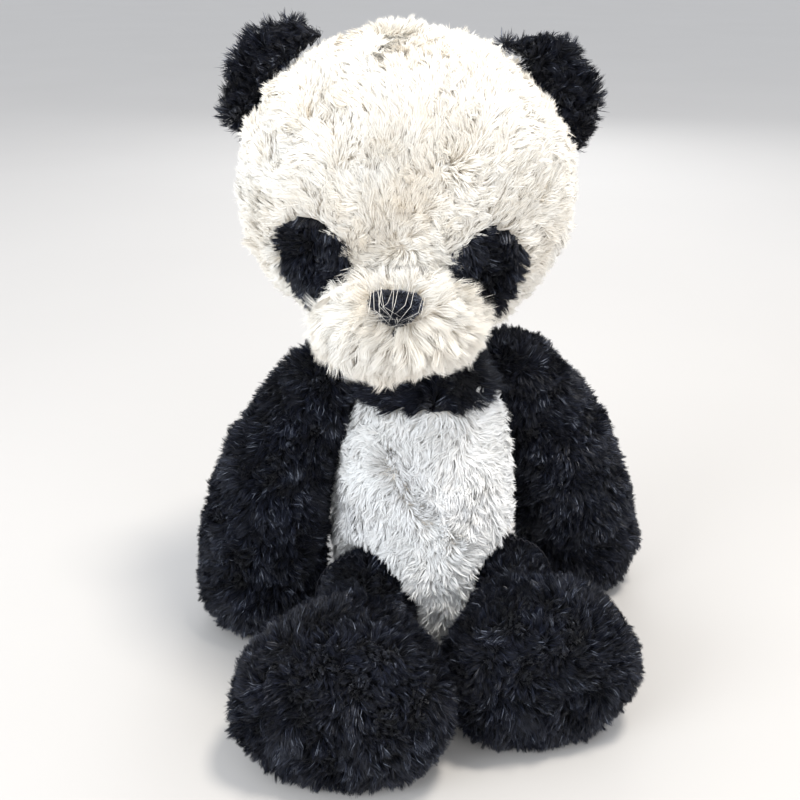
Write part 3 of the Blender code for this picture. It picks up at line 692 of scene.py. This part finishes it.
def woven_material(name, dark, light, pitch, roughness):
    """A plain weave, from two crossing waves."""
    made = Nodes(name, roughness, 0.2, 0.2)
    place = made.add("ShaderNodeTexCoord")
    heights = []
    for direction in ("X", "Z"):
        wave = made.add("ShaderNodeTexWave", Scale=0.16 / pitch, Distortion=0.4)
        wave.bands_direction = direction
        made.link(place.outputs["Object"], wave.inputs["Vector"])
        heights.append(wave.outputs["Fac"])
    both = made.add("ShaderNodeMath", operation="MAXIMUM")
    made.link(heights[0], both.inputs[0])
    made.link(heights[1], both.inputs[1])
    made.colour(made.ramp(both.outputs[0], [(0.2, dark), (0.8, light)]))
    made.bump(both.outputs[0], 0.5, pitch / 2)
    return made.material


WHITE_TONES = [
    (0.0, (0.84, 0.78, 0.69)),
    (0.35, (0.90, 0.86, 0.79)),
    (0.65, (0.93, 0.90, 0.84)),
    (1.0, (0.96, 0.94, 0.90)),
]
BELLY_TONES = [
    (0.0, (0.76, 0.74, 0.71)),
    (0.35, (0.83, 0.82, 0.80)),
    (0.65, (0.89, 0.89, 0.88)),
    (1.0, (0.94, 0.94, 0.95)),
]
# The black fur's own tones, with painted glints in the top two stops.
BLACK_TONES_AND_GLINTS = [
    (0.0, (0.0028, 0.0033, 0.0065)),
    (0.5, (0.008, 0.010, 0.020)),
    (0.80, (0.018, 0.022, 0.042)),
    # painted glints: light strands standing in for fibres that catch the light
    (0.94, (0.10, 0.115, 0.16)),
    (1.0, (0.30, 0.33, 0.40)),
]
# In each fur below, the colour after the tones is the painted shade at the strands' roots.
WHITE_FUR = fur_material(
    "white_fur", WHITE_TONES, (0.97, 0.93, 0.87), (0.985, 0.96, 0.925), 0.4, 0.6, 0.9
)
BELLY_FUR = fur_material(
    "belly_fur", BELLY_TONES, (0.95, 0.94, 0.92), (0.97, 0.97, 0.98), 0.4, 0.6, 0.9
)
BLACK_FUR = fur_material(
    "black_fur", BLACK_TONES_AND_GLINTS, (0.4, 0.4, 0.4), (0.8, 0.8, 0.8), 0.12, 0.25, 0.6
)
WHITE_CLOTH = grained_material(
    "white_backing", (0.86, 0.80, 0.72), (0.92, 0.87, 0.80), 900.0, 0.95, 0.4, 0.2
)
BLACK_CLOTH = grained_material(
    "black_backing", (0.003, 0.003, 0.005), (0.007, 0.008, 0.012), 900.0, 0.95, 0.4, 0.2
)
WADDING = grained_material(
    "polyester_wadding", (0.74, 0.74, 0.72), (0.90, 0.90, 0.89), 260.0, 0.95, 0.8, 0.5
)
THREAD = grained_material(
    "black_thread", (0.004, 0.004, 0.006), (0.02, 0.02, 0.028), 1800.0, 0.6, 0.5
)
BAG_WEAVE = woven_material("bag_cotton", (0.50, 0.46, 0.38), (0.78, 0.74, 0.66), 0.5 * MM, 0.9)
RIBBON = woven_material("label_ribbon", (0.70, 0.70, 0.68), (0.90, 0.90, 0.88), 0.3 * MM, 0.5)
PELLET_PLASTIC = grained_material(
    "pellet_plastic", (0.50, 0.51, 0.48), (0.70, 0.71, 0.68), 120.0, 0.5, 0.1, 0.0, 0.4
)
WASHER_PLASTIC = grained_material(
    "washer_plastic", (0.68, 0.68, 0.66), (0.80, 0.80, 0.78), 400.0, 0.45, 0.15, 0.0, 0.4
)
EYE_GLOSS = grained_material(
    "eye_gloss", (0.003, 0.003, 0.004), (0.006, 0.006, 0.008), 500.0, 0.15, 0.02, 0.0, 0.35
)


# Flows: the way fur lies, before each surface flattens it


HEAD = centre_of("head_back_panel", "face_panel_left", "face_panel_right")
NOSE = centre_of("nose")


def downwards(points):
    """Fur that falls."""
    return np.tile([0.0, 0.0, -1.0], (len(points), 1))


def head_flow(points):
    """Fur that leaves the nose, climbs the brow and falls down the back."""
    behind = ease(points[:, 1] - HEAD.y, 0.0, 45 * MM)[:, None]
    return unit(points - np.array(NOSE)) + downwards(points) * 0.6 * behind


def muzzle_flow(points):
    """Fur that leaves the nose on every side."""
    return unit(points - np.array(NOSE)) + downwards(points) * 0.2


def limb_flow(root, end):
    """Fur that runs along a limb."""
    way = np.array((end - root).normalized())

    def flow(points):
        return np.tile(way, (len(points), 1))

    return flow


def sole_flow(middle):
    """Fur on an end panel: its own swirl wins in the middle, and it turns outwards at the rim."""
    spin = Wander(71, 30 * MM)

    def flow(points):
        away = (points - np.array(middle)) / SOLE_RADIUS
        return away * 1.2 + spin(points) * 1.1 + downwards(points) * 0.1

    return flow


def outward_flow(middle):
    """Fur that spreads from the middle of an end panel."""

    def flow(points):
        return unit(points - np.array(middle)) + downwards(points) * 0.2

    return flow


# Panels


def panel_piece(unit_surface, panels, name, pile, flow, fur, cloth, seed, shade, extra=()):
    """One panel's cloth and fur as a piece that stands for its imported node."""
    chosen = np.flatnonzero(unit_surface.owners == panels.index(name))
    strands = joined([grow(unit_surface, chosen, pile, flow, seed, shade), *extra])
    parts = [strand_mesh_parts(strands), cloth_parts(unit_surface, chosen)]
    body = frame["nodes"][name]["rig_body"]
    piece = make_piece(f"{name}_plush", parts, [fur, cloth], body)
    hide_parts(name)
    return piece


LIMB_NODES = [
    name
    for name in frame["nodes"]
    if name.startswith(("arm_front", "arm_back", "leg_outer", "leg_inner"))
]
TORSO_PANELS = [
    "belly_panel",
    "chest_yoke",
    "back_yoke",
    "back_panel_left",
    "back_panel_right",
    "seat_panel",
]
HEAD_PANELS = [
    "forehead_panel",
    "face_panel_left",
    "face_panel_right",
    "head_back_panel",
    "eye_patch_left",
    "eye_patch_right",
]
BRIGHT = (0.55, 0.06, 0.08)  # the middle shade, and how far locks and strands stray from it
# its wide spread by strand sends a few strands into the black fur's painted glints
DARK = (0.42, 0.09, 0.23)


def fuller_sides(points, normals):
    """More under the arms, where the torso meets them."""
    return 2.5 * MM * ease(np.abs(normals[:, 0]), 0.45, 0.85)


def build_torso():
    """The torso's six panels."""
    surface = build_surface(
        TORSO_PANELS,
        ["torso_stuffing"],
        [*LIMB_NODES, "neck_stuffing"],
        BELLY_PILE.depth,
        seed=11,
        swell=fuller_sides,
    )
    white = {
        "belly_panel": BELLY_PILE,
        "back_panel_left": BODY_PILE,
        "back_panel_right": BODY_PILE,
        "seat_panel": BODY_PILE,
    }
    for index, name in enumerate(TORSO_PANELS):
        if name in white:
            look = (white[name], downwards, BELLY_FUR, WHITE_CLOTH, 100 + index)
            panel_piece(surface, TORSO_PANELS, name, *look, shade=BRIGHT)
        else:
            look = (YOKE_PILE, downwards, BLACK_FUR, BLACK_CLOTH, 100 + index)
            panel_piece(surface, TORSO_PANELS, name, *look, shade=DARK)


def build_tail():
    """The stub of a tail."""
    surface = build_surface(
        ["tail_cover"],
        ["tail_stuffing"],
        ["torso_stuffing"],
        TAIL_PILE.depth,
        seed=17,
        voxel=1.6 * MM,
        rounds=8,
    )
    look = (TAIL_PILE, downwards, BELLY_FUR, WHITE_CLOTH, 150)
    panel_piece(surface, ["tail_cover"], "tail_cover", *look, shade=BRIGHT)


def build_head():
    """The head's four panels and the two eye patches."""
    surface = build_surface(
        HEAD_PANELS, ["head_stuffing"], ["neck_stuffing", "neck_seam"], HEAD_PILE.depth, seed=12
    )
    for index, name in enumerate(HEAD_PANELS):
        if name.startswith("eye_patch"):
            look = (PATCH_PILE, downwards, BLACK_FUR, BLACK_CLOTH, 200 + index)
            panel_piece(surface, HEAD_PANELS, name, *look, shade=DARK)
        else:
            pile = BACK_PILE if name == "head_back_panel" else HEAD_PILE
            look = (pile, head_flow, WHITE_FUR, WHITE_CLOTH, 200 + index)
            panel_piece(surface, HEAD_PANELS, name, *look, shade=BRIGHT)


def build_muzzle():
    """The long-haired muzzle and the velvet nose."""
    low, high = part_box("muzzle_cover")
    middle, half = (low + high) / 2, (high - low) / 2

    def pear(points, normals):
        """Less at the sides above, beside the eye patches, and more at the cheeks."""
        height = (points[:, 2] - middle.z) / half.z
        sides = ease(np.abs(normals[:, 0]), 0.2, 0.8)
        return sides * (2.5 * ease(-height, 0.0, 0.5) - 6.0 * ease(height, -0.1, 0.6)) * MM

    surface = build_surface(
        ["muzzle_cover"],
        ["muzzle_stuffing"],
        ["head_stuffing"],
        MUZZLE_PILE.depth,
        seed=13,
        swell=pear,
    )
    look = (MUZZLE_PILE, muzzle_flow, WHITE_FUR, WHITE_CLOTH, 300)
    extra = [nose_wisps()]
    panel_piece(surface, ["muzzle_cover"], "muzzle_cover", *look, shade=BRIGHT, extra=extra)
    surface = build_surface(
        ["nose"], [], [], NOSE_PILE.depth, seed=18, voxel=0.7 * MM, rounds=10, lumps=0.0
    )
    look = (NOSE_PILE, downwards, BLACK_FUR, BLACK_CLOTH, 310)
    panel_piece(surface, ["nose"], "nose", *look, shade=(0.62, 0.10, 0.12))


def nose_wisps(count=24):
    """Long white hairs rooted round the nose that lie across it."""
    rng = np.random.default_rng(330)
    low, high = (np.array(corner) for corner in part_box("nose"))
    middle = (low + high) / 2
    ahead = unit(middle - np.array(centre_of("head_stuffing")))
    right = unit(np.cross(ahead, (0.0, 0.0, 1.0)))
    up = np.cross(right, ahead)
    turn = rng.uniform(0, 2 * math.pi, count)
    turn = np.where(rng.random(count) < 0.5, rng.normal(math.pi / 2, 0.6, count), turn)
    wide, tall = WISP_RING
    rim = right * np.cos(turn)[:, None] * wide + up * np.sin(turn)[:, None] * tall
    roots = middle + rim - ahead * 2.0 * MM
    inner = rim * rng.uniform(-0.3, 0.6, (count, 1))
    skew = right * rng.normal(0, 4.0 * MM, (count, 1)) + up * rng.normal(0, 3.0 * MM, (count, 1))
    over = ahead * rng.uniform(6.2, 8.2, (count, 1)) * MM
    tips = middle + inner + skew + over
    lift = ahead * rng.uniform(5.5, 8.0, (count, 1)) * MM
    bend = middle + rim * 0.85 + skew * 0.25 + lift
    places = np.stack([roots, bend, tips], axis=1)
    widths = WISP_WIDTH * rng.uniform(0.7, 1.2, count)
    return Strands(places, np.tile(ahead, (count, 1)), widths, rng.uniform(0.75, 0.99, count))


def build_neck():
    """A sleeve of short black fur over the plug that joins head and torso."""
    plug = ["neck_stuffing"]
    surface = build_surface(plug, [], [], NECK_PILE.depth, seed=19, voxel=2.0 * MM, rounds=8)
    look = (NECK_PILE, downwards, BLACK_FUR, BLACK_CLOTH, 320)
    piece = panel_piece(surface, plug, "neck_stuffing", *look, shade=DARK)


def build_ears():
    """Both ears, each of a front and a back panel."""
    for side in SIDES:
        panels = [f"ear_front_{side}", f"ear_back_{side}"]
        surface = build_surface(
            panels, [], ["head_stuffing"], EAR_PILE.depth, seed=14, voxel=2.0 * MM, rounds=6
        )
        flow = outward_flow(HEAD)
        for index, name in enumerate(panels):
            look = (EAR_PILE, flow, BLACK_FUR, BLACK_CLOTH, 400 + index)
            panel_piece(surface, panels, name, *look, shade=DARK)


def build_arm(side):
    """One arm's front and back panels, fuller where the arm lies against the torso."""
    panels = [f"arm_front_{side}", f"arm_back_{side}"]

    def fuller(points, normals):
        """More on top of the shoulder and on the side next to the torso."""
        inner = ease(-normals[:, 0] * SIDES[side], 0.2, 0.8)
        top = ease(normals[:, 2], 0.3, 0.8)
        return (1.0 + 1.5 * inner + 2.0 * top) * MM

    surface = build_surface(
        panels,
        [f"arm_stuffing_{side}"],
        TORSO_PANELS,
        LIMB_PILE.depth,
        seed=15,
        rounds=16,
        swell=fuller,
    )
    paw = centre_of(*panels)
    paw.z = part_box(panels[0])[0].z
    flow = limb_flow(centre_of(f"shoulder_seam_{side}"), paw)
    for index, name in enumerate(panels):
        look = (LIMB_PILE, flow, BLACK_FUR, BLACK_CLOTH, 500 + index)
        panel_piece(surface, panels, name, *look, shade=DARK)


def build_leg(side):
    """One leg's outer and inner panels and its sole."""
    panels = [f"leg_outer_{side}", f"leg_inner_{side}", f"foot_sole_{side}"]
    hip = centre_of(f"hip_seam_{side}")
    sole = centre_of(f"foot_sole_{side}")
    reach = (sole - hip).length

    def fuller(points, normals):
        """Less at the thigh and more at the foot."""
        share = np.linalg.norm(points - np.array(hip), axis=1) / reach
        sides = np.abs(normals[:, 0]) * ease(share, 0.6, 0.9)
        return (-4.5 + 5.0 * ease(share, 0.35, 0.8)) * MM + 1.5 * MM * sides

    surface = build_surface(
        panels,
        [f"leg_stuffing_{side}"],
        TORSO_PANELS,
        LIMB_PILE.depth,
        seed=16,
        rounds=16,
        swell=fuller,
    )
    along = limb_flow(hip, sole)
    for index, name in enumerate(panels):
        flow = sole_flow(sole) if name.startswith("foot") else along
        look = (LIMB_PILE, flow, BLACK_FUR, BLACK_CLOTH, 600 + index)
        panel_piece(surface, panels, name, *look, shade=DARK)


# Small parts and what is inside


def seam_ring(name, body, sunk):
    """A ladder of stitches round a joint's seam, just above the cloth."""
    node = frame["nodes"][name]
    points = np.array([vert.co for vert in node.data.vertices], float)
    middle = points.mean(0)
    axes = np.linalg.svd(points - middle, full_matrices=False)[2]
    radius = np.linalg.norm(points - middle, axis=1).mean() - sunk
    curve = bpy.data.curves.new(f"{name}_stitches", "CURVE")
    curve.dimensions = "3D"
    curve.bevel_depth = STITCH_RADIUS
    curve.bevel_resolution = 2
    spline = curve.splines.new("POLY")
    stitches = round(2 * math.pi * radius / STITCH)
    turns = np.linspace(0, 2 * math.pi, stitches * STITCH_POINTS, endpoint=False)
    spline.points.add(len(turns) - 1)
    spline.use_cyclic_u = True
    for point, turn in zip(spline.points, turns):
        out = radius + STITCH_RISE * math.cos(stitches * turn)
        place = middle + (axes[0] * math.cos(turn) + axes[1] * math.sin(turn)) * out
        place = place + axes[2] * STITCH_SWAY * math.sin(stitches * turn)
        point.co = (*place, 1.0)
    curve.materials.append(THREAD)
    item = bpy.data.objects.new(f"{name}_stitches", curve)
    bpy.context.scene.collection.objects.link(item)
    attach(item, body)
    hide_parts(name)


def wadding(node, depth=0.8 * MM):
    """Loose, lumpy filling in place of a packed core."""
    surface = build_surface(
        [node], [], [], depth, seed=21, voxel=3.0 * MM, rounds=4, lumps=1.2 * MM
    )
    parts = cloth_parts(surface, np.arange(len(surface.faces)))
    piece = make_piece(f"{node}_wadding", [parts], [WADDING], frame["nodes"][node]["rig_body"])
    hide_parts(node)


def smooth_piece(node, voxel, material, sunk):
    """A small part of the head again with a fine, smooth surface, deeper in the fur."""
    surface = build_surface([node], [], [], 0.0, seed=22, voxel=voxel, rounds=5, lumps=0.0)
    inwards = (centre_of("head_stuffing") - centre_of(node)).normalized()
    surface.points += np.array(inwards) * sunk
    parts = cloth_parts(surface, np.arange(len(surface.faces)))
    piece = make_piece(f"{node}_smooth", [parts], [material], frame["nodes"][node]["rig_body"])
    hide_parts(node)


def finish_node(node, material):
    """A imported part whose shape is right, with its real material."""
    slots = frame["nodes"][node].material_slots
    for slot in slots:
        slot.material = material


def build_small_parts():
    """Eyes, mouth, label, seams, wadding and pellets."""
    for side in SIDES:
        smooth_piece(f"eye_{side}", 0.5 * MM, EYE_GLOSS, 3.6 * MM)
        finish_node(f"eye_washer_{side}", WASHER_PLASTIC)
        seam_ring(f"shoulder_seam_{side}", f"shoulder_{side}", 3.0 * MM)
        seam_ring(f"hip_seam_{side}", f"hip_{side}", 3.5 * MM)
        wadding(f"arm_stuffing_{side}")
        wadding(f"leg_stuffing_{side}")
    seam_ring("neck_seam", "neck_joint", 1.5 * MM)
    for node, fill in (("torso_stuffing", 0.85), ("head_stuffing", 0.95)):
        wadding(node)
    for node, fill in (("muzzle_stuffing", 0.8), ("tail_stuffing", 0.7)):
        wadding(node, 0.3 * MM)
    smooth_piece("mouth_stitch", 0.4 * MM, THREAD, 3.4 * MM)
    finish_node("sewn_label", RIBBON)
    finish_node("pellet_bag", BAG_WEAVE)
    finish_node("pellet_fill", PELLET_PLASTIC)


# Stage


def build_stage():
    """A plain pale floor, soft studio light and the camera."""
    mesh = bpy.data.meshes.new("studio_floor")
    form = bmesh.new()
    bmesh.ops.create_grid(form, x_segments=1, y_segments=1, size=FLOOR_SIZE)
    form.to_mesh(mesh)
    form.free()
    floor = bpy.data.objects.new("studio_floor", mesh)
    bpy.context.scene.collection.objects.link(floor)
    made = Nodes("floor_paint", 0.8, 0.2)
    made.colour(made.ramp(made.noise(3.0), [(0.0, (0.54, 0.52, 0.50)), (1.0, (0.57, 0.55, 0.53))]))
    mesh.materials.append(made.material)

    world = bpy.data.worlds.new("studio")
    bpy.context.scene.world = world
    world.use_nodes = True
    world.node_tree.nodes["Background"].inputs["Color"].default_value = (0.90, 0.94, 1.0, 1.0)
    world.node_tree.nodes["Background"].inputs["Strength"].default_value = 1.0
    bpy.context.scene.view_settings.view_transform = "Standard"

    for name, place, size, power, colour in (
        ("ceiling_light", (0.32, -0.28, 1.60), 0.30, 17.0, (1.0, 0.95, 0.87)),
        ("window_light", (-1.20, -0.60, 0.75), 0.9, 12.0, (0.88, 0.94, 1.0)),
        ("front_fill", (0.45, -1.30, 0.60), 0.9, 4.0, (1.0, 0.98, 0.96)),
        ("back_fill", (0.50, 1.40, 0.80), 0.9, 6.0, (0.96, 0.98, 1.0)),
    ):
        lamp = bpy.data.lights.new(name, "AREA")
        lamp.shape = "DISK"
        lamp.size = size
        lamp.energy = power
        lamp.color = colour
        item = bpy.data.objects.new(name, lamp)
        item.location = place
        item.rotation_euler = (LIT_SPOT - Vector(place)).to_track_quat("-Z", "Y").to_euler()
        bpy.context.scene.collection.objects.link(item)

    camera = bpy.data.cameras.new("camera")
    camera.lens = CAMERA_LENS
    item = bpy.data.objects.new("camera", camera)
    item.location = CAMERA_PLACE
    level = math.cos(CAMERA_PITCH)
    ahead = (math.sin(CAMERA_YAW) * level, math.cos(CAMERA_YAW) * level, -math.sin(CAMERA_PITCH))
    item.rotation_euler = Vector(ahead).to_track_quat("-Z", "Y").to_euler()
    bpy.context.scene.collection.objects.link(item)
    bpy.context.scene.camera = item


build_stage()
build_torso()
build_tail()
build_head()
build_muzzle()
build_neck()
build_ears()
for limb_side in SIDES:
    build_arm(limb_side)
    build_leg(limb_side)
build_small_parts()
